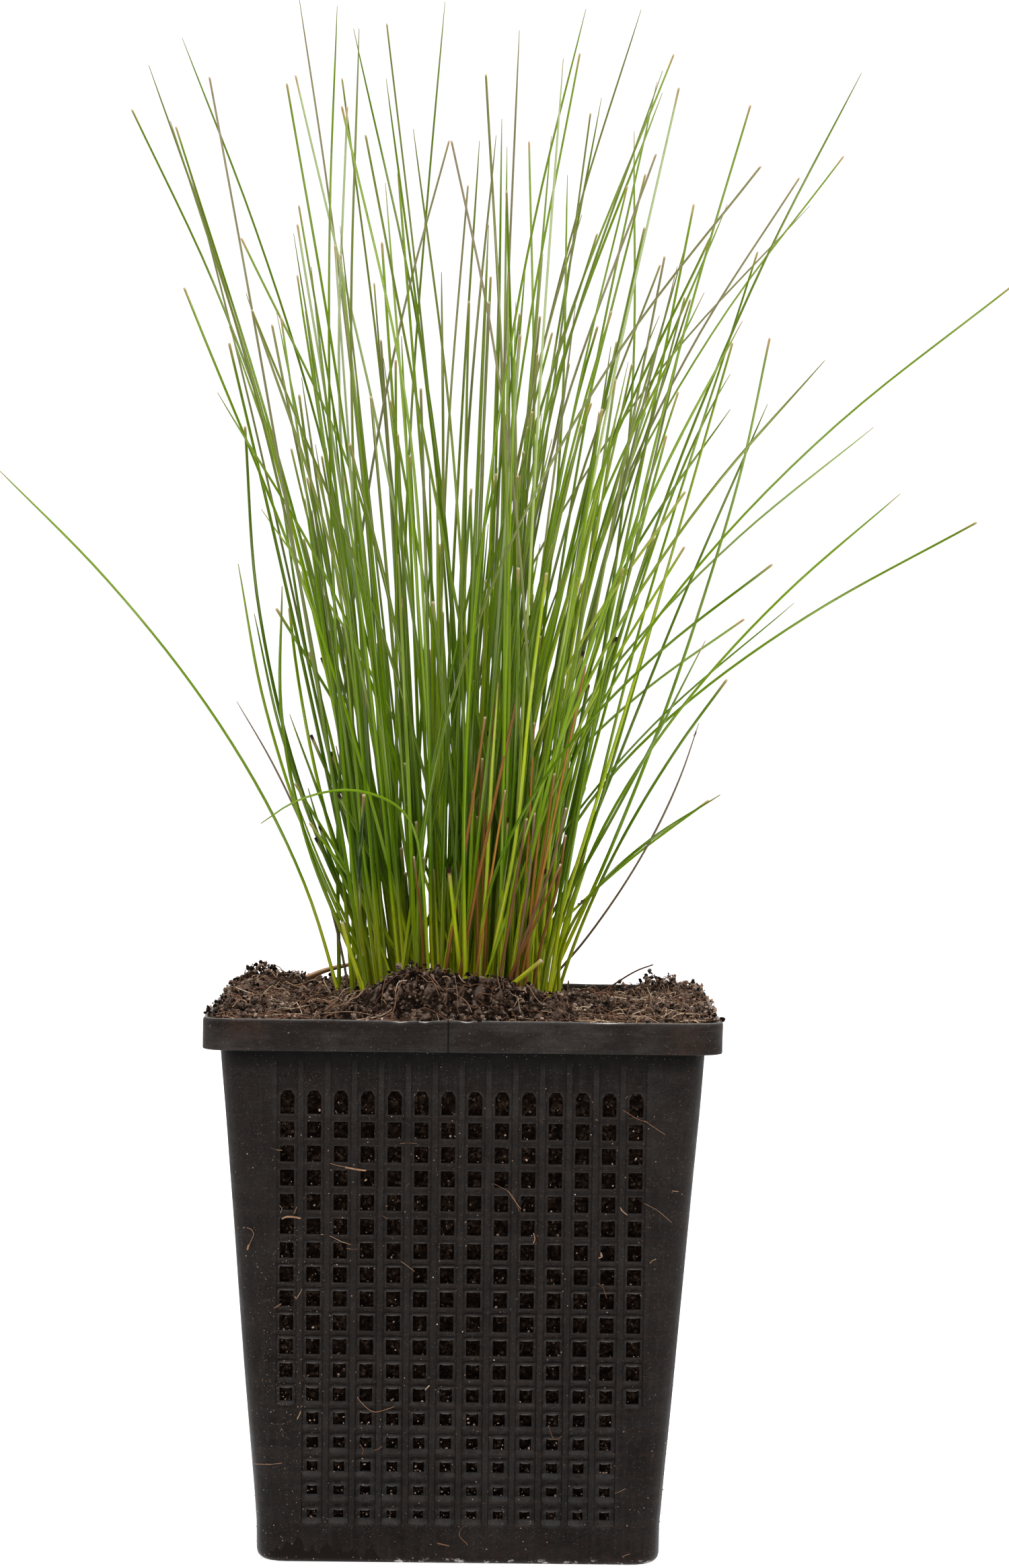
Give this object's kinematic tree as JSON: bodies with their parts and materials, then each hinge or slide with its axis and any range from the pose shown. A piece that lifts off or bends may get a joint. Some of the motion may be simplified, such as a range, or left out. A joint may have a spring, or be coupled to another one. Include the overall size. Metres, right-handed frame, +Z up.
{
  "type": "potted fiber optic grass",
  "caption": "Clump of thin round green stems standing in dark soil in a square black plastic mesh basket with an out-turned rim.",
  "frame": {"origin": "centre of the basket's underside", "axes": "+Z up along the basket's axis, +X to the right and -Y towards the viewer as the picture shows it, each square to a wall of the basket"},
  "size_m": [0.1812, 0.0983, 0.2823],
  "materials": {
    "black_plastic": "satin",
    "dark_soil": "matte",
    "stem_green": "satin",
    "stem_dry": "matte"
  },
  "bodies": {
    "root": {"basket": "black_plastic", "soil": "dark_soil", "stem_arched": "stem_green", "stem_crossed_left": "stem_green", "stem_diagonal": "stem_green", "stem_far_left": "stem_green", "stem_far_right_tall": "stem_green", "stem_far_right_thin": "stem_green", "stem_left_bowed": "stem_green", "stem_left_brown": "stem_green", "stem_left_dry": "stem_dry", "stem_left_tall": "stem_green", "stem_left_thin": "stem_green", "stem_long_right": "stem_green", "stem_right_bright": "stem_green", "stem_right_brown": "stem_green", "stem_right_hooked": "stem_green", "stem_right_low": "stem_green", "stem_right_low_dry": "stem_dry", "stem_right_low_lower": "stem_green", "stem_right_low_upper": "stem_green", "stem_right_lowest": "stem_green", "stem_right_pale": "stem_green", "stem_right_short": "stem_green", "stem_right_spray": "stem_green", "stem_right_spray_curved": "stem_green", "stem_right_spray_thin": "stem_green", "stem_right_tall": "stem_green", "stem_right_thin": "stem_green", "stem_top_left": "stem_green", "stem_top_left_pale": "stem_green", "stem_top_middle": "stem_green", "stem_top_right": "stem_green", "stem_top_right_thin": "stem_green", "stem_with_spikelet": "stem_green", "tuft_01": "stem_green", "tuft_02": "stem_green", "tuft_03": "stem_green", "tuft_04": "stem_green", "tuft_05": "stem_green", "tuft_06": "stem_green", "tuft_07": "stem_green", "tuft_08": "stem_green", "tuft_09": "stem_green", "tuft_10": "stem_green", "tuft_11": "stem_green", "tuft_12": "stem_green", "tuft_13": "stem_green", "tuft_14": "stem_green", "tuft_15": "stem_green", "tuft_16": "stem_green", "tuft_17": "stem_green", "tuft_18": "stem_green", "tuft_19": "stem_green"}
  },
  "joints": []
}
